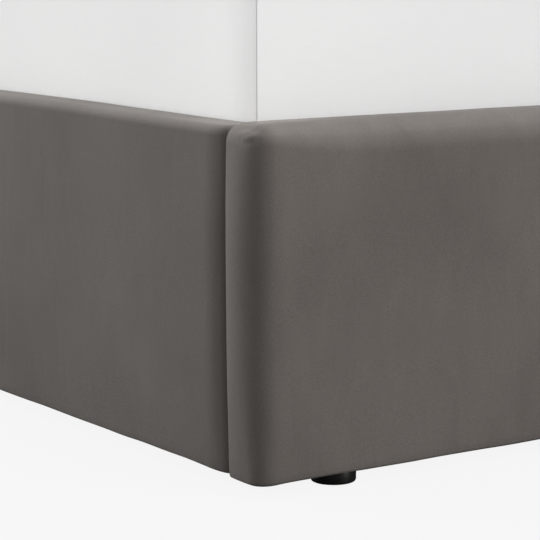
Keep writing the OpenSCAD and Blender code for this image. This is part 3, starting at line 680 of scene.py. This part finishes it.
def mattress_shape(points, outwards):
    """Quilting on the mattress, which lies just inside its sheet."""
    quilt = np.cos(points[..., 0] * 2 * math.pi / 0.11) * np.cos(points[..., 1] * 2 * math.pi / 0.11)
    flat = np.abs(outwards[..., 2])
    inside = 0.0022 + 0.0012 * quilt * flat + 0.0006 * (1 - flat)
    move = mattress_form(points, outwards) + corner_fold(points, outwards, 0.7)
    return move - outwards * (inside * 0.6)[..., None]


def mattress():
    reach = BED_SIZE[0] / 2
    layers = profile(bed_low.z, bed_high.z, reach, 0.0, EDGE_R, EDGE_R, reach - 0.0001, (16, 60))
    piece = block_skin("quilted_mattress", BED_SIZE, (MATTRESS_R, MATTRESS_R), layers, (90, 120, 8),
                       mattress_shape, BED_PLACE)
    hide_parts("mattress")
    return piece


# ---- thin liners under the panels ----

def liner(name, low, high):
    """A strip of lining stapled under a panel, with slightly uneven edges."""
    step = 0.012
    nx = max(int((high[0] - low[0]) / step), 4)
    ny = max(int((high[1] - low[1]) / step), 4)
    xs, ys = np.linspace(low[0], high[0], nx + 1), np.linspace(low[1], high[1], ny + 1)
    grid = np.empty((nx + 1, ny + 1, 3))
    grid[..., 0], grid[..., 1] = xs[:, None], ys[None, :]
    grid[..., 2] = PANEL_Z - 0.0006
    grid[..., 2] -= 0.00025 * (1 + waves(grid, (0.03, 0.03, 1), 91))
    edge = waves(grid, (0.04, 0.04, 1), 92) * 0.0008
    grid[0, :, 0] += edge[0]
    grid[-1, :, 0] += edge[-1]
    grid[:, 0, 1] += edge[:, 0]
    grid[:, -1, 1] += edge[:, -1]
    inward = np.zeros_like(grid)
    inward[..., 2] = 0.0005
    return thick_sheet(name, grid, inward)


def liners():
    """One strip under each panel, a little narrower than the panel's underside."""
    inset = 0.008
    places = {
        "footboard": ((foot_low.x, foot_low.y), (foot_high.x, foot_high.y)),
        "left_rail": ((-rail_high.x, rail_low.y), (-rail_low.x, rail_high.y)),
        "right_rail": ((rail_low.x, rail_low.y), (rail_high.x, rail_high.y)),
        "headboard": ((-BED_HALF, HEAD_Y), (BED_HALF, HEAD_Y + HEAD_T)),
    }
    strips = []
    for name, (low, high) in places.items():
        low, high = np.array(low) + inset, np.array(high) - inset
        strip = liner(name + "_liner", low, high)
        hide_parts("underside_liners")
        strips.append(strip)
    return strips


# ---- materials ----

def add(tree, kind, sockets=(), **settings):
    """A shader node. sockets are (input, value) pairs, where a value is a number, a colour or an output."""
    made = tree.nodes.new("ShaderNode" + kind)
    for key, value in settings.items():
        setattr(made, key, value)
    for key, value in sockets:
        if isinstance(value, bpy.types.NodeSocket):
            tree.links.new(value, made.inputs[key])
        else:
            made.inputs[key].default_value = value
    return made


SOCKETS = {"roughness": "Roughness", "metallic": "Metallic", "ior_level": "Specular IOR Level",
           "sheen": "Sheen Weight", "sheen_roughness": "Sheen Roughness", "sheen_tint": "Sheen Tint"}


def new_material(name, **values):
    """A material, its node tree and its shader, with these values on the shader's own sockets."""
    made = bpy.data.materials.new(name)
    made.use_nodes = True
    shader = made.node_tree.nodes["Principled BSDF"]
    for key, value in values.items():
        shader.inputs[SOCKETS[key]].default_value = value
    return made, made.node_tree, shader


def places(tree, scale=(1, 1, 1), turn=(0, 0, 0)):
    """Points of the object in metres, scaled and turned."""
    source = add(tree, "TexCoord").outputs["Object"]
    return add(tree, "Mapping", [("Vector", source), ("Scale", scale), ("Rotation", turn)]).outputs[0]


def noise(tree, vector, scale, detail=3.0, roughness=0.5, distortion=0.0):
    sockets = [("Vector", vector), ("Scale", scale), ("Detail", detail), ("Roughness", roughness),
               ("Distortion", distortion)]
    return add(tree, "TexNoise", sockets).outputs[0]


def stripes(tree, scale, distortion, direction):
    sockets = [("Vector", places(tree)), ("Scale", scale), ("Distortion", distortion)]
    return add(tree, "TexWave", sockets, bands_direction=direction).outputs[1]


def ramp(tree, value, stops):
    """A colour for a number, through (position, colour) stops."""
    made = add(tree, "ValToRGB", [(0, value)])
    elements = made.color_ramp.elements
    while len(elements) < len(stops):
        elements.new(0.5)
    for element, (position, colour) in zip(elements, stops):
        element.position = position
        element.color = (*colour, 1.0)
    return made.outputs[0]


def mixed(tree, a, b, factor, blend="MIX"):
    made = add(tree, "Mix", [(0, factor), (6, a), (7, b)], data_type="RGBA", blend_type=blend)
    return made.outputs[2]


def maths(tree, operation, a, b=0.0):
    return add(tree, "Math", [(0, a), (1, b)], operation=operation).outputs[0]


def scaled(tree, value, factor, offset=0.0):
    """value * factor + offset."""
    return maths(tree, "ADD", maths(tree, "MULTIPLY", value, factor), offset)


def blend(tree, a, share_a, b, share_b):
    """a * share_a + b * share_b."""
    return maths(tree, "ADD", maths(tree, "MULTIPLY", a, share_a), maths(tree, "MULTIPLY", b, share_b))


def coloured(tree, shader, colour):
    tree.links.new(colour, shader.inputs["Base Color"])


def bumped(tree, shader, height, distance, strength=1.0):
    made = add(tree, "Bump", [("Height", height), ("Distance", distance), ("Strength", strength)])
    tree.links.new(made.outputs[0], shader.inputs["Normal"])


def grey(value):
    return (value, value, value, 1.0)


# painted light: how much of the velvet's colour is kept, from facing down (0) through upright (0.5) to facing
# up (1), darker below and paler above as light from above would make it
PAINTED_LIGHT_BY_TILT = [(0.0, (0.33,) * 3), (0.44, (0.42,) * 3), (0.50, (0.45,) * 3), (0.57, (0.50,) * 3),
               (0.65, (0.565, 0.57, 0.575)), (0.73, (0.63, 0.64, 0.65)), (0.80, (0.735, 0.75, 0.765)),
               (0.88, (0.80, 0.82, 0.84)), (1.0, (0.90, 0.93, 0.95))]
PAINTED_SHADE_SIDES = 0.14                  # painted shade: how much darker the left and right sides are made


def velvet():
    """Short warm grey pile: a cloudy nap with brushed streaks, with painted light that makes it paler where
    it faces up and painted shade that darkens it facing down and on its left and right sides.
    """
    made, tree, shader = new_material("velvet", roughness=0.85, ior_level=0.12, sheen=0.12,
                                      sheen_roughness=0.30, sheen_tint=(1.0, 0.955, 0.92, 1.0))
    clouds = noise(tree, places(tree), 5.0, 2.0, 0.45, 0.4)
    brushed = noise(tree, places(tree, (1, 1, 0.35), (0.3, 0.2, 0.1)), 26.0, 4.0, 0.6, 0.8)
    pile = noise(tree, places(tree), 900.0, 2.0, 0.6)
    nap = blend(tree, clouds, 0.60, brushed, 0.40)
    colour = ramp(tree, nap, [(0.30, (0.240, 0.2125, 0.194)), (0.70, (0.324, 0.2885, 0.265))])
    speck = ramp(tree, pile, [(0.3, (0.80,) * 3), (0.7, (1.0,) * 3)])
    colour = mixed(tree, colour, speck, 1.0, "MULTIPLY")
    # painted light and shade: the colour goes by the way that the cover faces, paler facing up, darker facing
    # down and on the left and right sides
    normal = add(tree, "NewGeometry").outputs["Normal"]
    across, _, rise = add(tree, "SeparateXYZ", [(0, normal)]).outputs
    # painted light: paler facing up, darker facing down
    tilt = scaled(tree, rise, 0.5, 0.5)
    colour = mixed(tree, colour, ramp(tree, tilt, PAINTED_LIGHT_BY_TILT), 1.0, "MULTIPLY")
    # painted shade: the left and right sides are made darker
    sides = maths(tree, "MULTIPLY", maths(tree, "MULTIPLY", across, across), PAINTED_SHADE_SIDES)
    colour = mixed(tree, colour, maths(tree, "SUBTRACT", 1.0, sides), 1.0, "MULTIPLY")
    coloured(tree, shader, colour)
    tree.links.new(scaled(tree, brushed, 0.25, 0.7), shader.inputs["Roughness"])
    height = maths(tree, "ADD", pile, maths(tree, "MULTIPLY", brushed, 1.4))
    bumped(tree, shader, height, 0.0006, 0.6)
    return made


def cotton():
    """White percale: a fine plain weave, faint slubs and soft creases."""
    made, tree, shader = new_material("sheet_cotton", roughness=0.82, ior_level=0.25, sheen=0.12,
                                      sheen_roughness=0.5)
    warp = stripes(tree, 420.0, 0.6, "X")
    weft = stripes(tree, 420.0, 0.6, "Z")
    weave = maths(tree, "MAXIMUM", warp, weft)
    slubs = noise(tree, places(tree, (1, 1, 6)), 60.0, 3.0, 0.6)
    soft = noise(tree, places(tree), 3.0, 2.0, 0.5)
    whites = [(0.3, (0.765, 0.765, 0.765)), (0.7, (0.800, 0.799, 0.797))]
    coloured(tree, shader, ramp(tree, blend(tree, soft, 0.7, slubs, 0.3), whites))
    crease = noise(tree, places(tree), 14.0, 3.0, 0.55, 0.5)
    bumped(tree, shader, blend(tree, weave, 0.12, crease, 1.0), 0.0012, 0.5)
    return made


def ticking():
    """Mattress cover: pale knitted ticking with a fine stripe."""
    made, tree, shader = new_material("mattress_ticking", roughness=0.8, ior_level=0.2, sheen=0.1)
    stripe = stripes(tree, 40.0, 0.3, "DIAGONAL")
    knit = noise(tree, places(tree), 700.0, 2.0, 0.6)
    coloured(tree, shader, ramp(tree, stripe, [(0.2, (0.62, 0.63, 0.65)), (0.8, (0.76, 0.76, 0.75))]))
    bumped(tree, shader, maths(tree, "ADD", knit, stripe), 0.0006, 0.5)
    return made


def foam():
    """Yellow open-cell foam: rounded pores, with painted shade in their hollows."""
    made, tree, shader = new_material("padding_foam", roughness=0.95, ior_level=0.1)
    tone = (0.78, 0.70, 0.42)
    cells = add(tree, "TexVoronoi", [("Vector", places(tree)), ("Scale", 260.0)]).outputs[0]
    stain = noise(tree, places(tree), 6.0, 3.0, 0.5)
    dark = tuple(c * 0.62 for c in tone)
    # painted shade: the pores are darker in their hollows
    base = ramp(tree, cells, [(0.05, dark), (0.45, tone)])
    aged = ramp(tree, stain, [(0.3, (0.90, 0.88, 0.82)), (0.7, (1.0, 1.0, 1.0))])
    coloured(tree, shader, mixed(tree, base, aged, 1.0, "MULTIPLY"))
    bumped(tree, shader, cells, 0.0012, 0.8)
    return made


def wadding():
    """Pale polyester wadding: long loose fibres."""
    made, tree, shader = new_material("wadding", roughness=0.95, ior_level=0.1, sheen=0.4)
    fibres = noise(tree, places(tree, (1, 1, 0.25)), 220.0, 5.0, 0.7, 1.5)
    coloured(tree, shader, ramp(tree, fibres, [(0.3, (0.66, 0.65, 0.62)), (0.7, (0.86, 0.85, 0.82))]))
    bumped(tree, shader, fibres, 0.002, 0.7)
    return made


def wood(name, axis, pale, dark, rings=26.0, gloss=0.55, pores=0.35):
    """Sawn wood with its grain along an axis: growth bands, fine fibres and pores."""
    made, tree, shader = new_material(name, roughness=gloss, ior_level=0.35)
    stretch = [1.0, 1.0, 1.0]
    stretch["XYZ".index(axis)] = 0.045
    grain = places(tree, tuple(stretch))
    warp = noise(tree, grain, 9.0, 3.0, 0.55)
    bands = noise(tree, grain, rings, 2.0, 0.45, 1.4)
    fibres = noise(tree, grain, 420.0, 3.0, 0.65)
    growth = maths(tree, "PINGPONG", maths(tree, "ADD", maths(tree, "MULTIPLY", bands, 5.0), warp), 0.5)
    palest = tuple(c * 1.05 for c in pale)
    colour = ramp(tree, maths(tree, "MULTIPLY", growth, 2.0), [(0.0, dark), (0.45, pale), (1.0, palest)])
    shade = ramp(tree, fibres, [(0.35, (1 - pores, 1 - pores, 1 - pores)), (0.6, (1.0, 1.0, 1.0))])
    coloured(tree, shader, mixed(tree, colour, shade, 0.5, "MULTIPLY"))
    tree.links.new(scaled(tree, fibres, 0.3, gloss - 0.15), shader.inputs["Roughness"])
    bumped(tree, shader, maths(tree, "ADD", fibres, growth), 0.0004, 0.5)
    return made


def metal(name, tone, roughness=0.34):
    """Plated steel: fine rolling marks and a faint blotchy plating."""
    made, tree, shader = new_material(name, metallic=1.0, roughness=roughness)
    sockets = [("Vector", places(tree)), ("Scale", 130.0)]
    blotch = add(tree, "TexVoronoi", sockets, feature="SMOOTH_F1").outputs[0]
    marks = noise(tree, places(tree, (1, 1, 30)), 90.0, 3.0, 0.6)
    dark = tuple(c * 0.82 for c in tone)
    coloured(tree, shader, ramp(tree, blotch, [(0.1, dark), (0.8, tone)]))
    tree.links.new(scaled(tree, marks, 0.2, roughness - 0.1), shader.inputs["Roughness"])
    bumped(tree, shader, marks, 0.00015, 0.6)
    return made


def moulded(name, tone, roughness, grain=600.0, depth=0.0001, level=0.4):
    """Moulded plastic or powder paint: a fine skin texture, slightly scuffed."""
    made, tree, shader = new_material(name, roughness=roughness, ior_level=level)
    skin = noise(tree, places(tree), grain, 2.0, 0.5)
    scuffs = noise(tree, places(tree, (1, 1, 3)), 45.0, 4.0, 0.65, 0.6)
    light = tuple(c * 1.5 + 0.002 for c in tone)
    coloured(tree, shader, ramp(tree, scuffs, [(0.45, tone), (0.8, light)]))
    tree.links.new(scaled(tree, scuffs, 0.2, roughness - 0.1), shader.inputs["Roughness"])
    bumped(tree, shader, skin, depth, 0.7)
    return made


def lining():
    """Black spun lining with a fine dotted surface."""
    made, tree, shader = new_material("liner", roughness=0.9, ior_level=0.15)
    dots = add(tree, "TexVoronoi", [("Vector", places(tree)), ("Scale", 420.0)]).outputs[0]
    coloured(tree, shader, ramp(tree, dots, [(0.1, (0.012, 0.012, 0.013)), (0.6, (0.032, 0.031, 0.031))]))
    bumped(tree, shader, dots, 0.0003, 0.7)
    return made


PINE = ((0.62, 0.44, 0.25), (0.43, 0.26, 0.12))
BIRCH = ((0.68, 0.53, 0.36), (0.52, 0.37, 0.22))


def wooden(node):
    """Wood for a timber node, with its grain along the pieces."""
    if node in ("footboard_uprights", "left_rail_uprights", "right_rail_uprights", "headboard_posts"):
        return wood("pine_upright", "Z", *PINE)
    if node in ("centre_rail", "left_rail_bars", "right_rail_bars", "left_slat_ledger", "right_slat_ledger"):
        return wood("pine_long", "Y", *PINE)
    return wood("pine_across", "X", *PINE)


MAKERS = {
    "velvet": velvet,
    "padding_foam": foam,
    "wadding": wadding,
    "plywood": lambda: wood("plywood", "X", (0.60, 0.45, 0.29), (0.45, 0.31, 0.18), 12.0, 0.7),
    "beech": lambda: wood("birch_slats", "X", *BIRCH, rings=18.0, gloss=0.4, pores=0.25),
    "holder_plastic": lambda: moulded("holder_plastic", (0.018, 0.018, 0.019), 0.42),
    "foot_plastic": lambda: moulded("foot_plastic", (0.004, 0.0037, 0.0034), 0.34, level=0.16),
    "zinc_plate": lambda: metal("zinc_plate", (0.56, 0.57, 0.58), 0.38),
    "zinc_fasteners": lambda: metal("zinc_fasteners", (0.62, 0.62, 0.63), 0.28),
    "yellow_screws": lambda: metal("yellow_screws", (0.66, 0.49, 0.20), 0.30),
    "leg_paint": lambda: moulded("leg_paint", (0.022, 0.022, 0.023), 0.5, grain=260.0, depth=0.0003),
    "liner": lining,
    "mattress_ticking": ticking,
    "sheet_cotton": cotton,
}
made_materials = {}


def material_for(slot, node=""):
    """The slot's material, made once. Timber has one for each direction of its grain."""
    if slot == "pine":
        found = wooden(node)
        kept = made_materials.setdefault(found.name.split(".")[0], found)
        if kept is not found:
            bpy.data.materials.remove(found)
        return kept
    if slot not in made_materials:
        made_materials[slot] = MAKERS[slot]()
    return made_materials[slot]


def finish_piece(piece, slot, body):
    piece.data.materials.clear()
    piece.data.materials.append(material_for(slot))
    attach(piece, body)


BEVELS = {"pine": 0.0012, "beech": 0.0010, "plywood": 0.0003, "zinc_plate": 0.0005, "holder_plastic": 0.0006,
          "foot_plastic": 0.0012, "leg_paint": 0.0004}


def soften_edges(piece, width):
    """Worn or moulded edges on a CAD part. Its own mesh stays as it is."""
    merge = piece.modifiers.new("merge", "WELD")
    merge.merge_threshold = 0.00002
    bevel = piece.modifiers.new("edges", "BEVEL")
    bevel.width = width
    bevel.segments = 2
    bevel.limit_method = "ANGLE"
    bevel.angle_limit = math.radians(40)
    bevel.harden_normals = False


def finish_cad_parts():
    hidden = {n for n, piece in frame["nodes"].items() if piece.hide_render}
    for part in frame["record"]["subparts"]:
        node, slot = part["node"], part["material_slot"]
        if node in hidden:
            continue
        piece = frame["nodes"][node]
        piece.data.materials.clear()
        piece.data.materials.append(material_for(slot, node))
        if slot in BEVELS:
            soften_edges(piece, BEVELS[slot])


# ---- stage, light and camera ----

BACKGROUND = 0.922                # the pale studio, as the camera sees it
FLOOR_ALBEDO = 0.035              # the floor hardly darkens in shadow, and glows evenly
FLOOR_GLOW = 0.893
BOUNCE_ALBEDO = 0.22
SKY = 0.605                       # light from all round
STAGE_HALF = 60.0
LIGHTS = {"left_light": (-150, 8, 4.35), "right_light": (32, 20, 2.30)}   # azimuth, elevation, strength
LIGHT_ANGLE = math.radians(40)    # a wide angle makes soft shadows
CAMERA_PLACE = (-1.9071, -2.8271, 0.5261)
CAMERA_AZIMUTH, CAMERA_ELEVATION, CAMERA_ROLL = (math.radians(a) for a in (-33.947, 8.586, -0.183))
CAMERA_LENS = 140.50              # millimetres, for a sensor 36 mm wide


def stage():
    """A plain pale floor, and even light from all round."""
    half = STAGE_HALF
    corners = [(-half, -half, 0), (half, -half, 0), (half, half, 0), (-half, half, 0)]
    floor = mesh_object("studio_floor", corners, [(0, 1, 2, 3)])
    floor.location.z = -0.0002
    made = bpy.data.materials.new("studio_floor")
    made.use_nodes = True
    tree = made.node_tree
    tree.nodes.clear()
    lit = add(tree, "BsdfDiffuse", [("Color", grey(FLOOR_ALBEDO))])
    glow = add(tree, "Emission", [("Color", grey(1.0)), ("Strength", FLOOR_GLOW)])
    both = add(tree, "AddShader", [(0, lit.outputs[0]), (1, glow.outputs[0])])
    tree.links.new(both.outputs[0], add(tree, "OutputMaterial").inputs[0])
    floor.data.materials.append(made)
    # the glowing floor is only for the camera, and a plain one under it throws light back at the bed
    bounce = mesh_object("studio_bounce", corners, [(0, 1, 2, 3)])
    bounce.location.z = -0.0005
    paper = bpy.data.materials.new("studio_bounce")
    paper.use_nodes = True
    paper.node_tree.nodes["Principled BSDF"].inputs["Base Color"].default_value = grey(BOUNCE_ALBEDO)
    bounce.data.materials.append(paper)
    floor.visible_diffuse = floor.visible_glossy = floor.visible_shadow = False
    bounce.visible_camera = False
    world = bpy.data.worlds.new("studio")
    bpy.context.scene.world = world
    world.use_nodes = True
    tree = world.node_tree
    sky = tree.nodes["Background"]
    sky.inputs[0].default_value = (1.0, 1.0, 1.0, 1.0)
    seen = add(tree, "LightPath").outputs["Is Camera Ray"]
    strength = maths(tree, "ADD", SKY, maths(tree, "MULTIPLY", seen, BACKGROUND - SKY))
    tree.links.new(strength, sky.inputs[1])
    bpy.context.scene.view_settings.view_transform = "Standard"


def studio_light(name, azimuth, elevation, strength):
    """Broad parallel light. Azimuth 0 is in front of the footboard, and minus is to its left."""
    lamp = bpy.data.lights.new(name, "SUN")
    lamp.energy = strength
    lamp.angle = LIGHT_ANGLE
    made = bpy.data.objects.new(name, lamp)
    az, el = math.radians(azimuth), math.radians(elevation)
    away = Vector((math.sin(az) * math.cos(el), -math.cos(az) * math.cos(el), math.sin(el)))
    made.rotation_euler = away.to_track_quat("Z", "Y").to_euler()
    bpy.context.scene.collection.objects.link(made)


def camera():
    """A long lens low in front of the left corner of the footboard."""
    azimuth, elevation, roll = CAMERA_AZIMUTH, CAMERA_ELEVATION, CAMERA_ROLL
    lens = bpy.data.cameras.new("camera")
    lens.sensor_width = 36.0
    lens.lens = CAMERA_LENS
    lens.clip_start, lens.clip_end = 0.05, 200.0
    back = Vector((math.sin(azimuth) * math.cos(elevation), -math.cos(azimuth) * math.cos(elevation),
                   math.sin(elevation)))
    right = (-back).cross(Vector((0, 0, 1))).normalized()
    up = back.cross(right)
    right, up = right * math.cos(roll) + up * math.sin(roll), up * math.cos(roll) - right * math.sin(roll)
    made = bpy.data.objects.new("camera", lens)
    facing = Matrix((right, up, back)).transposed().to_4x4()
    made.matrix_world = Matrix.Translation(CAMERA_PLACE) @ facing
    bpy.context.scene.collection.objects.link(made)
    bpy.context.scene.camera = made


# ---- the whole bed ----

def build():
    camera()
    stage()
    for name, values in LIGHTS.items():
        studio_light(name, *values)
    covers = velvet_panels()
    head, head_pads = headboard()
    pads = panel_foam() + head_pads
    for piece in covers + head:
        finish_piece(piece, "velvet", "frame")
    for piece in pads:
        slot = "wadding" if piece.name == "headboard_wadding" else "padding_foam"
        finish_piece(piece, slot, "frame")
    for strip in liners():
        finish_piece(strip, "liner", "frame")
    bed, cloth = mattress(), fitted_sheet()
    finish_piece(bed, "mattress_ticking", "mattress_and_sheet")
    finish_piece(cloth, "sheet_cotton", "mattress_and_sheet")
    finish_cad_parts()


build()
